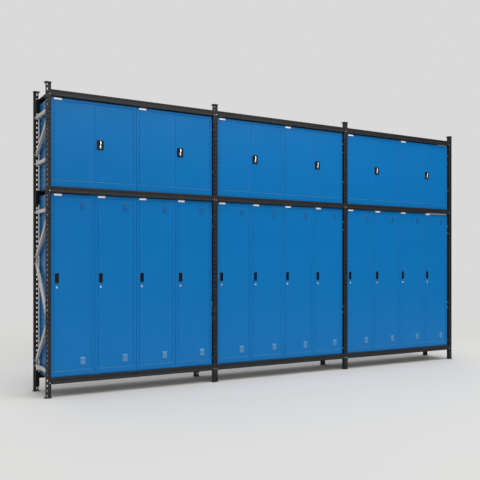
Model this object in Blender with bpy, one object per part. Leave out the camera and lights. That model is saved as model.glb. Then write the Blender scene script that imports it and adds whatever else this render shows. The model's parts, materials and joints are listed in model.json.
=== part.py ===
"""Bank of steel lockers and cupboards held in a three-bay boltless rack.

Twelve one-door lockers stand on the bottom shelves, four to a bay.  Six two-door
cupboards stand on the middle shelves, two to a bay.  Four upright frames, three
levels of beams and the decks between them carry everything.

Frame of the part: origin on the floor under the middle of the bank, +X along the
bank, the doors face -Y, +Z up.  Units are metres.
"""

import math

import bmesh
import bpy
from mathutils import Matrix, Vector

# ---------------------------------------------------------------- driving dimensions
BAYS = 3
BAY_PITCH = 1.889          # post centre to post centre
RACK_DEPTH = 0.500         # front face of the front posts to rear face of the rear posts
RACK_HEIGHT = 3.150

POST_WIDTH = 0.055
POST_DEPTH = 0.050
POST_WALL = 0.002
POST_RETURN = 0.012        # depth of the full-width front of the post
CHANNEL_WIDTH = 0.031      # narrower channel behind it, where the braces end
FOOT_OVERHANG = 0.008
FOOT_THICKNESS = 0.004
CAP_OVERHANG = 0.005
CAP_THICKNESS = 0.003

BRACE_HEIGHT = 0.035
BRACE_WALL = 0.0015
BRACE_INSET = 0.028        # end of a brace inside the open side of the post
WELD_BITE = 0.00025        # how far a brace sinks into the channel walls
BRACE_LEVELS = (0.267, 1.878, 2.384, 2.870)
# each diagonal: height at the front post, height at the rear post
DIAGONALS = ((2.775, 2.469), (1.792, 1.395), (0.779, 1.361), (0.745, 0.307))

BEAM_HEIGHT = 0.062
BEAM_DEPTH = 0.040
BEAM_WALL = 0.002
CONNECTOR_HEIGHT = 0.150
TIE_HEIGHT = 0.045
TIE_WALL = 0.0015
DECK_SHEET = 0.0012
RIB_HEIGHT = 0.020
RIB_WIDTH = 0.040
RIB_OFFSET = 0.110         # centre line of the deck to each rib
LEVEL_TOPS = {"bottom": 0.197, "middle": 2.111, "top": 3.077}

FIT_GAP = 0.0003           # between pieces that touch
SHEET = 0.0012             # locker and cupboard sheet
FRONT_SETBACK = 0.028      # locker fronts behind the front posts
UNIT_DEPTH = 0.457
UNIT_GAP = 0.001           # between neighbouring units
DOOR_GAP = 0.0015          # around every door
DOOR_DEPTH = 0.020

LOCKERS_PER_BAY = 4
LOCKER_WIDTH = 0.456
LOCKER_HEIGHT = 1.8494
STILE = 0.0315
LOCKER_HEADER = 0.0345
LOCKER_RAIL = 0.0610
HAT_SHELF_DROP = 0.300     # top of the locker down to its hat shelf

CUPBOARDS_PER_BAY = 2
CUPBOARD_WIDTH = 0.913
CUPBOARD_HEIGHT = 0.900
CUPBOARD_HEADER = 0.0310
CUPBOARD_RAIL = 0.0740

PULL_WIDTH = 0.040         # black finger pull of a locker door
PULL_HEIGHT = 0.100
PULL_DEPTH = 0.002
PULL_FROM_EDGE = 0.029
PULL_HEIGHT_ABOVE_FLOOR = 1.192
LOCK_RADIUS = 0.011
LOCK_DEPTH = 0.004
LOCK_HEIGHT_ABOVE_FLOOR = 1.099

PLATE_WIDTH = 0.075        # black plate behind the cupboard handle
PLATE_HEIGHT = 0.101
PLATE_DEPTH = 0.004
PLATE_FROM_EDGE = 0.055
PLATE_HEIGHT_ABOVE_FLOOR = 2.567
SPINDLE_DROP = 0.022       # spindle below the middle of the plate
BOSS_RADIUS = 0.012
HANDLE_DEPTH = 0.022
GRIP_WIDTH = 0.016
GRIP_DEPTH = 0.010
GRIP_TOP = 0.062           # above the spindle
GRIP_BOTTOM = 0.018        # below the spindle

# ---------------------------------------------------------------- values that follow
HALF_DEPTH = RACK_DEPTH / 2
HALF_LENGTH = BAYS * BAY_PITCH / 2
BAY_CLEAR = BAY_PITCH - POST_WIDTH
FRONT_FACE = -HALF_DEPTH + FRONT_SETBACK
BEAM_FACE = HALF_DEPTH + FIT_GAP + BEAM_WALL
BEAM_INNER = BEAM_FACE - BEAM_DEPTH
LOCKER_FLOOR = LEVEL_TOPS["bottom"] + FIT_GAP
CUPBOARD_FLOOR = LEVEL_TOPS["middle"] + FIT_GAP


# ---------------------------------------------------------------- helpers
def clear_scene():
    for item in list(bpy.data.objects):
        bpy.data.objects.remove(item, do_unlink=True)


def make_material(name, colour, metallic, roughness):
    material = bpy.data.materials.new(name)
    material.use_nodes = True
    shader = material.node_tree.nodes["Principled BSDF"]
    shader.inputs["Base Color"].default_value = (*colour, 1.0)
    shader.inputs["Metallic"].default_value = metallic
    shader.inputs["Roughness"].default_value = roughness
    return material


def prism(outline, start, end, placement=None):
    """A closed prism: the outline lies in XY and is extruded from start to end in Z."""
    shape = bmesh.new()
    corners = [shape.verts.new((x, y, start)) for x, y in outline]
    base = shape.faces.new(corners)
    extruded = bmesh.ops.extrude_face_region(shape, geom=[base])
    moved = [item for item in extruded["geom"] if isinstance(item, bmesh.types.BMVert)]
    bmesh.ops.translate(shape, vec=(0, 0, end - start), verts=moved)
    if placement is not None:
        shape.transform(placement)
    bmesh.ops.recalc_face_normals(shape, faces=shape.faces)
    return shape


def box(low, high):
    """A closed box between two opposite corners."""
    outline = ((low[0], low[1]), (high[0], low[1]), (high[0], high[1]), (low[0], high[1]))
    return prism(outline, low[2], high[2])


def disc(radius, sides, start, end, placement):
    """A round bar along Z, turned and moved by placement."""
    outline = []
    for index in range(sides):
        angle = 2 * math.pi * (index + 0.5) / sides
        outline.append((radius * math.cos(angle), radius * math.sin(angle)))
    return prism(outline, start, end, placement)


def temporary_object(shape):
    mesh = bpy.data.meshes.new("temporary")
    shape.to_mesh(mesh)
    shape.free()
    item = bpy.data.objects.new("temporary", mesh)
    bpy.context.collection.objects.link(item)
    return item


def fuse(name, solids, cuts=()):
    """One mesh: the first solid, joined with the others, less the cuts."""
    body = temporary_object(solids[0])
    helpers = [body]
    steps = [(shape, "UNION") for shape in solids[1:]]
    steps += [(shape, "DIFFERENCE") for shape in cuts]
    for shape, operation in steps:
        tool = temporary_object(shape)
        helpers.append(tool)
        modifier = body.modifiers.new(operation.lower(), "BOOLEAN")
        modifier.operation = operation
        modifier.object = tool
        modifier.solver = "EXACT"
    graph = bpy.context.evaluated_depsgraph_get()
    mesh = bpy.data.meshes.new_from_object(body.evaluated_get(graph))
    mesh.name = name
    for item in helpers:
        bpy.data.objects.remove(item, do_unlink=True)
    return mesh


def place(name, mesh, material, location=(0, 0, 0), parent=None):
    """A named object at a place in the world, or relative to its parent."""
    mesh.materials.clear()
    mesh.materials.append(material)
    item = bpy.data.objects.new(name, mesh)
    item.location = location
    item.parent = parent
    bpy.context.collection.objects.link(item)
    return item


# ---------------------------------------------------------------- upright frames
def post_outline(front):
    """Hat-shaped section, open towards the inside of the frame."""
    half = POST_WIDTH / 2
    wall = POST_WALL
    step = POST_RETURN - wall
    channel = CHANNEL_WIDTH / 2
    right_half = [
        (half, 0), (half, POST_RETURN), (channel, POST_RETURN), (channel, POST_DEPTH),
        (channel - wall, POST_DEPTH), (channel - wall, step), (half - wall, step),
        (half - wall, wall),
    ]
    outline = right_half + [(-x, y) for x, y in reversed(right_half)]
    if front:
        return [(x, y - HALF_DEPTH) for x, y in outline]
    return [(x, HALF_DEPTH - y) for x, y in outline]


def foot_or_cap(front, overhang, low, high):
    """Plate at the end of a post."""
    half = POST_WIDTH / 2 + overhang
    outer = HALF_DEPTH + overhang
    inner = HALF_DEPTH - POST_DEPTH - overhang
    if front:
        return box((-half, -outer, low), (half, -inner, high))
    return box((-half, inner, low), (half, outer, high))


def brace(front_height, rear_height):
    """Channel bar from the front post to the rear post, open on its right-hand side."""
    reach = HALF_DEPTH - POST_DEPTH + BRACE_INSET
    run = 2 * reach
    rise = rear_height - front_height
    length = math.hypot(run, rise)
    half_height = BRACE_HEIGHT / 2
    half_width = CHANNEL_WIDTH / 2 - POST_WALL + WELD_BITE
    wall = BRACE_WALL
    outline = (
        (-half_width, -half_height), (half_width, -half_height),
        (half_width, wall - half_height), (wall - half_width, wall - half_height),
        (wall - half_width, half_height - wall), (half_width, half_height - wall),
        (half_width, half_height), (-half_width, half_height),
    )
    along = Matrix.Rotation(-math.pi / 2, 4, "X") @ Matrix.Scale(-1, 4, (0, 1, 0))
    slope = Matrix.Rotation(math.atan2(rise, run), 4, "X")
    start = Matrix.Translation((0, -reach, front_height))
    return prism(outline, 0, length, start @ slope @ along)


def upright_frame_mesh():
    solids = []
    for front in (True, False):
        solids.append(prism(post_outline(front), FOOT_THICKNESS / 2, RACK_HEIGHT - CAP_THICKNESS / 2))
        solids.append(foot_or_cap(front, FOOT_OVERHANG, 0, FOOT_THICKNESS))
        solids.append(foot_or_cap(front, CAP_OVERHANG, RACK_HEIGHT - CAP_THICKNESS, RACK_HEIGHT))
    lines = [(height, height) for height in BRACE_LEVELS] + list(DIAGONALS)
    for front_height, rear_height in lines:
        solids.append(brace(front_height, rear_height))
    return fuse("upright_frame", solids)


def build_upright_frames(material):
    mesh = upright_frame_mesh()
    for index in range(BAYS + 1):
        place(f"upright_frame_{index + 1}", mesh, material, (index * BAY_PITCH - HALF_LENGTH, 0, 0))


# ---------------------------------------------------------------- shelves
def beam(front, start, end, top):
    """Channel beam with its web outside, from start to end along X."""
    wall = BEAM_WALL
    low = -BEAM_HEIGHT
    outline = (
        (0, 0), (0, low), (BEAM_DEPTH, low), (BEAM_DEPTH, low + wall),
        (wall, low + wall), (wall, -wall), (BEAM_DEPTH, -wall), (BEAM_DEPTH, 0),
    )
    side = -1 if front else 1
    points = [(side * (BEAM_FACE - depth), top + height) for depth, height in outline]
    turn = Matrix(((0, 0, 1, 0), (1, 0, 0, 0), (0, 1, 0, 0), (0, 0, 0, 1)))
    return prism(points, start, end, turn)


def connector(front, flank, direction, top, lip_length):
    """End plate of a beam: one leg on the flank of the post, one over its face."""
    near = flank + direction * FIT_GAP
    far = near + direction * BEAM_WALL
    lip_end = near - direction * lip_length
    side = -1 if front else 1
    bottom = top - CONNECTOR_HEIGHT
    leg_y = sorted((side * BEAM_FACE, side * BEAM_INNER))
    lip_y = sorted((side * BEAM_FACE, side * (BEAM_FACE - BEAM_WALL)))
    leg_x = sorted((near, far))
    lip_x = sorted((lip_end, far))
    leg = box((leg_x[0], leg_y[0], bottom), (leg_x[1], leg_y[1], top))
    lip = box((lip_x[0], lip_y[0], bottom), (lip_x[1], lip_y[1], top))
    return [leg, lip]


def cross_tie(x, top):
    """Upright strip from the front beam to the rear beam."""
    reach = BEAM_FACE - BEAM_WALL / 2
    return box((x, -reach, top - TIE_HEIGHT), (x + TIE_WALL, reach, top))


def rib(start, end, y, top):
    """Hat rib under the deck, kept as a solid strip."""
    low = (start, y - RIB_WIDTH / 2, top - RIB_HEIGHT)
    return box(low, (end, y + RIB_WIDTH / 2, top))


def bay_beams(centre, top, lip_length):
    """Front and rear beams of one bay with their connectors and cross ties."""
    flank = BAY_CLEAR / 2
    inset = FIT_GAP + BEAM_WALL / 2
    solids = []
    for front in (True, False):
        solids.append(beam(front, centre - flank + inset, centre + flank - inset, top))
        solids += connector(front, centre - flank, 1, top, lip_length)
        solids += connector(front, centre + flank, -1, top, lip_length)
    tie_x = flank - FIT_GAP - 2 * BEAM_WALL - TIE_WALL
    solids.append(cross_tie(centre - tie_x - TIE_WALL, top - DECK_SHEET - FIT_GAP))
    solids.append(cross_tie(centre + tie_x, top - DECK_SHEET - FIT_GAP))
    return solids


def shelf_mesh(name, top):
    """Beams, ties, deck and ribs of one bay, made as one welded shelf."""
    solids = bay_beams(0, top, POST_WIDTH / 2 - FIT_GAP * 2)
    deck_half = BAY_CLEAR / 2 - FIT_GAP - BEAM_WALL / 2
    deck_low = top - DECK_SHEET
    reach = BEAM_INNER + BEAM_WALL
    solids.append(box((-deck_half, -reach, deck_low), (deck_half, reach, top - FIT_GAP)))
    rib_end = BAY_CLEAR / 2 - 0.030
    for side in (-1, 1):
        solids.append(rib(-rib_end, rib_end, side * RIB_OFFSET, deck_low + DECK_SHEET / 2))
    return fuse(name, solids)


def top_frame_mesh():
    """Top beams of all bays, joined over the faces of the posts."""
    top = LEVEL_TOPS["top"]
    solids = []
    for index in range(BAYS):
        centre = (index + 0.5) * BAY_PITCH - HALF_LENGTH
        solids += bay_beams(centre, top, POST_WIDTH / 2)
    for index in range(1, BAYS):
        centre = index * BAY_PITCH - HALF_LENGTH
        for side in (-1, 1):
            faces = sorted((side * BEAM_FACE, side * (BEAM_FACE - BEAM_WALL)))
            bridge = POST_WIDTH / 2
            low = (centre - bridge, faces[0], top - BEAM_HEIGHT)
            solids.append(box(low, (centre + bridge, faces[1], top)))
    return fuse("top_beam_frame", solids)


def top_deck_mesh():
    """Loose deck over all bays: it runs between the posts and lies on the cross ties."""
    top = LEVEL_TOPS["top"]
    low = top - DECK_SHEET
    spine = HALF_DEPTH - POST_DEPTH - 2 * BEAM_WALL
    half = HALF_LENGTH - POST_WIDTH / 2
    solids = [box((-half, -spine, low), (half, spine, top))]
    for index in range(BAYS):
        centre = (index + 0.5) * BAY_PITCH - HALF_LENGTH
        reach = BAY_CLEAR / 2 - 3 * BEAM_WALL
        edge = BEAM_INNER - FIT_GAP
        solids.append(box((centre - reach, -edge, low), (centre + reach, edge, top)))
        rib_end = BAY_CLEAR / 2 - 0.030
        for side in (-1, 1):
            y = side * RIB_OFFSET
            solids.append(rib(centre - rib_end, centre + rib_end, y, low + DECK_SHEET / 2))
    return fuse("top_deck", solids)


def build_shelves(material):
    for level in ("bottom", "middle"):
        mesh = shelf_mesh(f"{level}_shelf", LEVEL_TOPS[level])
        for index in range(BAYS):
            centre = (index + 0.5) * BAY_PITCH - HALF_LENGTH
            place(f"{level}_shelf_bay_{index + 1}", mesh, material, (centre, 0, 0))
    place("top_beam_frame", top_frame_mesh(), material)
    place("top_deck", top_deck_mesh(), material)


# ---------------------------------------------------------------- lockers and cupboards
def unit_centres(per_bay, width):
    """X of each unit's centre, bay by bay."""
    pitch = width + UNIT_GAP
    centres = []
    for bay in range(BAYS):
        bay_centre = (bay + 0.5) * BAY_PITCH - HALF_LENGTH
        for index in range(per_bay):
            centres.append(bay_centre + (index - (per_bay - 1) / 2) * pitch)
    return centres


def unit_body_mesh(name, width, height, header, rail, shelf_drop=None):
    """Sheet steel case with a framed front opening; local origin at its bottom front edge."""
    half = width / 2
    outer = box((-half, 0, 0), (half, UNIT_DEPTH, height))
    inner_half = half - SHEET
    rear = UNIT_DEPTH - SHEET
    ceiling = height - SHEET
    cuts = []
    if shelf_drop is None:
        cuts.append(box((-inner_half, SHEET, SHEET), (inner_half, rear, ceiling)))
    else:
        shelf = height - shelf_drop
        cuts.append(box((-inner_half, SHEET, shelf), (inner_half, rear, ceiling)))
        below = shelf - SHEET
        cuts.append(box((-inner_half, SHEET, SHEET), (inner_half, rear, below)))
    opening = half - STILE
    door_room = SHEET + DOOR_DEPTH
    low = (-opening, -SHEET, rail)
    high = (opening, door_room, height - header)
    cuts.append(box(low, high))
    return fuse(name, [outer], cuts)


def door_pan(width, height, back):
    """Folded door pan, open at the back; the front face lies at y = 0."""
    half = width / 2
    outer = box((-half, 0, 0), (half, back, height))
    inner = box(
        (SHEET - half, SHEET, SHEET),
        (half - SHEET, back + SHEET, height - SHEET),
    )
    return outer, inner


def shift(shape, offset):
    bmesh.ops.translate(shape, vec=offset, verts=shape.verts)
    return shape


def locker_door_mesh(width, height):
    """Locker door with its pull and lock; local origin on the hinge axis at the right."""
    outer, inner = door_pan(width, height, DOOR_DEPTH)
    pull_x = PULL_FROM_EDGE - width / 2
    base = LOCKER_FLOOR + LOCKER_RAIL + DOOR_GAP
    pull_z = PULL_HEIGHT_ABOVE_FLOOR - base
    lock_z = LOCK_HEIGHT_ABOVE_FLOOR - base
    pull = box(
        (pull_x - PULL_WIDTH / 2, -PULL_DEPTH, pull_z - PULL_HEIGHT / 2),
        (pull_x + PULL_WIDTH / 2, SHEET / 2, pull_z + PULL_HEIGHT / 2),
    )
    facing = Matrix.Translation((pull_x, 0, lock_z)) @ Matrix.Rotation(math.pi / 2, 4, "X")
    lock = disc(LOCK_RADIUS, 12, -SHEET / 2, LOCK_DEPTH, facing)
    solids = [outer, pull, lock]
    offset = Vector((-width / 2 - DOOR_GAP / 2, 0, 0))
    return fuse("locker_door", [shift(item, offset) for item in solids], [shift(inner, offset)])


def cupboard_door_mesh(name, width, height, hinge_side, with_plate):
    """Cupboard door; local origin on its hinge axis, hinge_side is +1 right or -1 left."""
    outer, inner = door_pan(width, height, DOOR_DEPTH)
    solids = [outer]
    if with_plate:
        base = CUPBOARD_FLOOR + CUPBOARD_RAIL + DOOR_GAP
        x = PLATE_FROM_EDGE - width / 2
        z = PLATE_HEIGHT_ABOVE_FLOOR - base
        solids.append(box(
            (x - PLATE_WIDTH / 2, -PLATE_DEPTH, z - PLATE_HEIGHT / 2),
            (x + PLATE_WIDTH / 2, SHEET / 2, z + PLATE_HEIGHT / 2),
        ))
    offset = Vector((-hinge_side * (width / 2 + DOOR_GAP / 2), 0, 0))
    return fuse(name, [shift(item, offset) for item in solids], [shift(inner, offset)])


def handle_mesh():
    """Turning handle; local origin on the spindle axis, in the plane of the door."""
    facing = Matrix.Rotation(math.pi / 2, 4, "X")
    start = PLATE_DEPTH + FIT_GAP
    front = start + HANDLE_DEPTH
    boss = disc(BOSS_RADIUS, 16, start, front, facing)
    half = GRIP_WIDTH / 2
    grip_front = -front + FIT_GAP
    grip = box((-half, grip_front, -GRIP_BOTTOM), (half, grip_front + GRIP_DEPTH, GRIP_TOP))
    return fuse("cupboard_handle", [boss, grip])


def build_lockers(blue):
    opening_width = LOCKER_WIDTH - 2 * STILE
    opening_height = LOCKER_HEIGHT - LOCKER_HEADER - LOCKER_RAIL
    body = unit_body_mesh(
        "locker_body", LOCKER_WIDTH, LOCKER_HEIGHT, LOCKER_HEADER, LOCKER_RAIL, HAT_SHELF_DROP)
    door = locker_door_mesh(opening_width - 2 * DOOR_GAP, opening_height - 2 * DOOR_GAP)
    for number, centre in enumerate(unit_centres(LOCKERS_PER_BAY, LOCKER_WIDTH), start=1):
        place(f"locker_body_{number:02d}", body, blue, (centre, FRONT_FACE, LOCKER_FLOOR))
        hinge = centre + opening_width / 2 - DOOR_GAP / 2
        door_floor = LOCKER_FLOOR + LOCKER_RAIL + DOOR_GAP
        place(f"locker_door_{number:02d}", door, blue, (hinge, FRONT_FACE, door_floor))


def build_cupboards(blue, chrome):
    opening_width = CUPBOARD_WIDTH - 2 * STILE
    opening_height = CUPBOARD_HEIGHT - CUPBOARD_HEADER - CUPBOARD_RAIL
    body = unit_body_mesh(
        "cupboard_body", CUPBOARD_WIDTH, CUPBOARD_HEIGHT, CUPBOARD_HEADER, CUPBOARD_RAIL)
    door_width = (opening_width - 3 * DOOR_GAP) / 2
    door_height = opening_height - 2 * DOOR_GAP
    left_door = cupboard_door_mesh("cupboard_door_left", door_width, door_height, -1, False)
    right_door = cupboard_door_mesh("cupboard_door_right", door_width, door_height, 1, True)
    handle = handle_mesh()
    door_floor = CUPBOARD_FLOOR + CUPBOARD_RAIL + DOOR_GAP
    reach = opening_width / 2 - DOOR_GAP / 2
    spindle_x = PLATE_FROM_EDGE - door_width - DOOR_GAP / 2
    spindle_z = PLATE_HEIGHT_ABOVE_FLOOR - SPINDLE_DROP - door_floor
    for number, centre in enumerate(unit_centres(CUPBOARDS_PER_BAY, CUPBOARD_WIDTH), start=1):
        place(f"cupboard_body_{number}", body, blue, (centre, FRONT_FACE, CUPBOARD_FLOOR))
        place(f"cupboard_door_left_{number}", left_door, blue, (centre - reach, FRONT_FACE, door_floor))
        hinge = (centre + reach, FRONT_FACE, door_floor)
        right = place(f"cupboard_door_right_{number}", right_door, blue, hinge)
        place(f"cupboard_handle_{number}", handle, chrome, (spindle_x, 0, spindle_z), right)


def main():
    clear_scene()
    black = make_material("black_powder_coat", (0.030, 0.030, 0.031), 0.0, 0.45)
    blue = make_material("blue_powder_coat", (0.010, 0.158, 0.440), 0.0, 0.38)
    chrome = make_material("polished_chrome", (0.80, 0.80, 0.80), 1.0, 0.12)
    build_upright_frames(black)
    build_shelves(black)
    build_lockers(blue)
    build_cupboards(blue, chrome)


main()
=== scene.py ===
# %% Load the fixed frame
import json
import math

import bmesh
import bpy
from mathutils import Matrix, Vector


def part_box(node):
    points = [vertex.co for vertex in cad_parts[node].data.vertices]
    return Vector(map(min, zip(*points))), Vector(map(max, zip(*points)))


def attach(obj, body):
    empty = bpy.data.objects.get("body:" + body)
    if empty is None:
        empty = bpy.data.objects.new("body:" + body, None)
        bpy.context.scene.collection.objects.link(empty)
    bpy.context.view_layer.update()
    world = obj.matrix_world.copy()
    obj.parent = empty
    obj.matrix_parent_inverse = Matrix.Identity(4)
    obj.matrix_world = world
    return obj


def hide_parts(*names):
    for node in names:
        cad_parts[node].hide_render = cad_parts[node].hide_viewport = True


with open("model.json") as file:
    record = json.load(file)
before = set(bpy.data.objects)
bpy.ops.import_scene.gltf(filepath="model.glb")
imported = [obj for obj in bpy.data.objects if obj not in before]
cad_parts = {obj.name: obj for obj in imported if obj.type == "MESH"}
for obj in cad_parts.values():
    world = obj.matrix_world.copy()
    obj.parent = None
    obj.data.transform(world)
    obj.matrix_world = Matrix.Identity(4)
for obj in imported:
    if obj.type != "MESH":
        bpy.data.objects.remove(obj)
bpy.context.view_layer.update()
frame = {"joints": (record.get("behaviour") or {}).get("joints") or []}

# %% [markdown]
# # A bank of steel lockers in a boltless rack
#
# Twelve one-door lockers stand on the bottom level of a three-bay rack, and six two-door
# cupboards stand on the middle level. Nearly everything is thin sheet steel that was cut,
# pressed and folded, and then powder coated blue (the lockers) or black (the rack).
#
# The frame above holds the plain solids that carry load and move. This lesson dresses them:
# each section makes one real piece as thin folded sheet, gives it its finish, and lets it ride
# on the body that carries it. Places are read from the frame, so nothing is fitted by eye.

# %% [markdown]
# ## Camera
#
# A tall piece of furniture is shown with upright verticals. A level camera keeps them upright,
# and a small lens shift raises the view instead of a tilt. Tilting would be simpler to set up,
# but it would make the posts lean.

# %% Camera
camera_data = bpy.data.cameras.new("camera")
camera_data.sensor_width = 36
camera_data.lens = 51.24
camera_data.shift_y = 0.054
camera = bpy.data.objects.new("camera", camera_data)
camera.location = (-4.648, -7.058, 1.316)
camera.rotation_euler = (math.radians(90), 0, math.radians(-30.59))
bpy.context.scene.collection.objects.link(camera)
bpy.context.scene.camera = camera
print("camera height:", camera.location.z, "m")

# %% [markdown]
# ## Adding nodes
#
# Every finish below is a small graph of shader nodes. One helper adds a node: its own fields
# first, then its sockets, each with a value or with the output that feeds it. Colours are
# written as the sRGB hex values that a paint chart shows, and turned to linear light here,
# because the shader works in linear light.


# %% Node and colour helpers
def linear(hex_colour):
    """An sRGB hex colour as linear red, green, blue and alpha."""
    channels = [int(hex_colour[start:start + 2], 16) / 255 for start in (1, 3, 5)]
    return (*[c / 12.92 if c <= 0.04045 else ((c + 0.055) / 1.055) ** 2.4 for c in channels], 1.0)


def add_node(owner, kind, settings=None, inputs=None):
    """Adds a node to a material or a world, with its settings and what its sockets hold."""
    made = owner.node_tree.nodes.new(kind)
    for field, value in (settings or {}).items():
        setattr(made, field, value)
    for socket, value in (inputs or {}).items():
        if isinstance(value, bpy.types.NodeSocket):
            owner.node_tree.links.new(value, made.inputs[socket])
        else:
            made.inputs[socket].default_value = value
    return made


# %% [markdown]
# ## Studio
#
# The light is a pale studio. A broad light in front shows the doors, a stronger one overhead
# drops a soft shadow under the rack, a softbox lifts the cupboards, and the room glows from
# above and behind. What the camera sees behind the bank is one even grey, but the light that
# the room sends is weaker in front and at the sides, so that black parts stay black: the Light
# Path node tells the two apart. The floor is a wide disc that fades out, which leaves no edge
# and no horizon line.

# %% World
STUDIO_GREY = "#DADADA"
scene = bpy.context.scene
scene.view_settings.view_transform = "Standard"
world = bpy.data.worlds.new("studio")
scene.world = world
world.use_nodes = True
world.node_tree.nodes.clear()
seen = add_node(world, "ShaderNodeBackground", inputs={"Color": linear(STUDIO_GREY)})
heading = add_node(world, "ShaderNodeTexCoord").outputs["Generated"]
parts = add_node(world, "ShaderNodeSeparateXYZ", inputs={"Vector": heading})
dome = add_node(world, "ShaderNodeMapRange", {"interpolation_type": "SMOOTHSTEP"}, {
    "Value": parts.outputs["Z"], "From Min": 0.1, "From Max": 0.8, "To Min": 0.06, "To Max": 0.7})
wall = add_node(world, "ShaderNodeMapRange", {"interpolation_type": "SMOOTHSTEP"}, {
    "Value": parts.outputs["Y"], "From Min": 0.35, "From Max": 0.9, "To Min": 0.03, "To Max": 0.85})
strength = add_node(world, "ShaderNodeMath", inputs={0: dome.outputs["Result"], 1: wall.outputs["Result"]})
room = add_node(world, "ShaderNodeBackground", inputs={
    "Color": linear("#F4F4F4"), "Strength": strength.outputs[0]})
ray = add_node(world, "ShaderNodeLightPath")
either = add_node(world, "ShaderNodeMixShader", inputs={
    0: ray.outputs["Is Camera Ray"], 1: room.outputs[0], 2: seen.outputs[0]})
add_node(world, "ShaderNodeOutputWorld", inputs={"Surface": either.outputs[0]})


# %% Lights
def aim(lamp, place, target):
    """Puts a lamp in the scene, facing its target."""
    lamp.location = place
    lamp.rotation_euler = (Vector(target) - Vector(place)).to_track_quat("-Z", "Y").to_euler()
    scene.collection.objects.link(lamp)


for name, energy, spread, place in (("front_light", 1.1, 40, (-1.4, -6.0, 2.1)),
                                    ("overhead_light", 1.68, 38, (0.0, -0.9, 6.0))):
    lamp = bpy.data.lights.new(name, "SUN")
    lamp.energy = energy
    lamp.angle = math.radians(spread)
    aim(bpy.data.objects.new(name, lamp), place, (0, 0, 0))

softbox = bpy.data.lights.new("softbox", "AREA")
softbox.shape = "RECTANGLE"
softbox.size = 7.0
softbox.size_y = 2.0
softbox.energy = 120
aim(bpy.data.objects.new("softbox", softbox), (0.5, -3.6, 5.2), (0, 0, 2.2))

# %% Floor
FLOOR_RADIUS = 40.0
floor_shape = bmesh.new()
bmesh.ops.create_circle(floor_shape, cap_ends=True, radius=FLOOR_RADIUS, segments=96)
floor_mesh = bpy.data.meshes.new("floor")
floor_shape.to_mesh(floor_mesh)
floor_shape.free()
floor = bpy.data.objects.new("floor", floor_mesh)
scene.collection.objects.link(floor)

floor_paint = bpy.data.materials.new("matt_floor_paint")
floor_paint.use_nodes = True
paint = floor_paint.node_tree.nodes["Principled BSDF"]
paint.inputs["Base Color"].default_value = linear("#C1C0BE")
paint.inputs["Roughness"].default_value = 0.75
paint.inputs["Specular IOR Level"].default_value = 0.2
where = add_node(floor_paint, "ShaderNodeTexCoord")
away = add_node(floor_paint, "ShaderNodeVectorMath", {"operation": "LENGTH"}, {0: where.outputs["Object"]})
fade = add_node(floor_paint, "ShaderNodeMapRange", {"interpolation_type": "SMOOTHSTEP"}, {
    "Value": away.outputs["Value"], "From Min": 4.5, "From Max": 13.0})
clear = add_node(floor_paint, "ShaderNodeBsdfTransparent")
faded = add_node(floor_paint, "ShaderNodeMixShader", inputs={
    0: fade.outputs["Result"], 1: paint.outputs[0], 2: clear.outputs[0]})
floor_output = floor_paint.node_tree.nodes["Material Output"]
floor_paint.node_tree.links.new(faded.outputs[0], floor_output.inputs["Surface"])
floor_mesh.materials.append(floor_paint)


# %% [markdown]
# ## Finishes
#
# Each finish starts from what the real surface is. Patterns read Object coordinates, which are
# metres here, so a Noise texture whose features should be 3 mm wide has a scale of 1 / 0.003.


# %% Starting a material
def start_material(name, colour, metallic, roughness):
    """A named material with its Principled shader, ready for its pattern."""
    material = bpy.data.materials.new(name)
    material.use_nodes = True
    shader = material.node_tree.nodes["Principled BSDF"]
    shader.inputs["Base Color"].default_value = linear(colour)
    shader.inputs["Metallic"].default_value = metallic
    shader.inputs["Roughness"].default_value = roughness
    place = add_node(material, "ShaderNodeTexCoord").outputs["Object"]
    return material, shader, place


def feed(material, shader, sockets):
    """Links outputs to the sockets of a shader."""
    for socket, output in sockets.items():
        material.node_tree.links.new(output, shader.inputs[socket])


# %% [markdown]
# ** Blue powder coat.** Dry paint powder is baked onto the steel and flows out into a tough,
# satin film. It gives the eye an even, deep colour with soft highlights, and a fine orange
# peel, waves 2 to 4 mm across, that shows only close up. A slow drift of tone keeps the large
# doors from looking printed. A paler tone is mixed in by the direction of the surface and its
# height, on what faces up low down, such as the slats of the low vents. It is partly dust that
# settles there, and partly a painted highlight for the overhead light that glints on those slats.

# %% Blue powder coat
blue, shader, place = start_material("blue_powder_coat", "#0A68AA", 0.0, 0.38)
shader.inputs["Specular IOR Level"].default_value = 0.22
drift = add_node(blue, "ShaderNodeTexNoise", inputs={"Vector": place, "Scale": 1 / 0.5, "Detail": 2.0})
tone = add_node(blue, "ShaderNodeMix", {"data_type": "RGBA"}, {
    0: drift.outputs["Fac"], 6: linear("#0568A8"), 7: linear("#076CAC")})
satin = add_node(blue, "ShaderNodeMapRange", inputs={
    "Value": drift.outputs["Fac"], "From Min": 0.3, "From Max": 0.7, "To Min": 0.29, "To Max": 0.33})
peel = add_node(blue, "ShaderNodeTexNoise", inputs={"Vector": place, "Scale": 1 / 0.003, "Detail": 1.0})
waves = add_node(blue, "ShaderNodeBump", inputs={
    "Height": peel.outputs["Fac"], "Distance": 0.00004, "Strength": 0.5})
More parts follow.
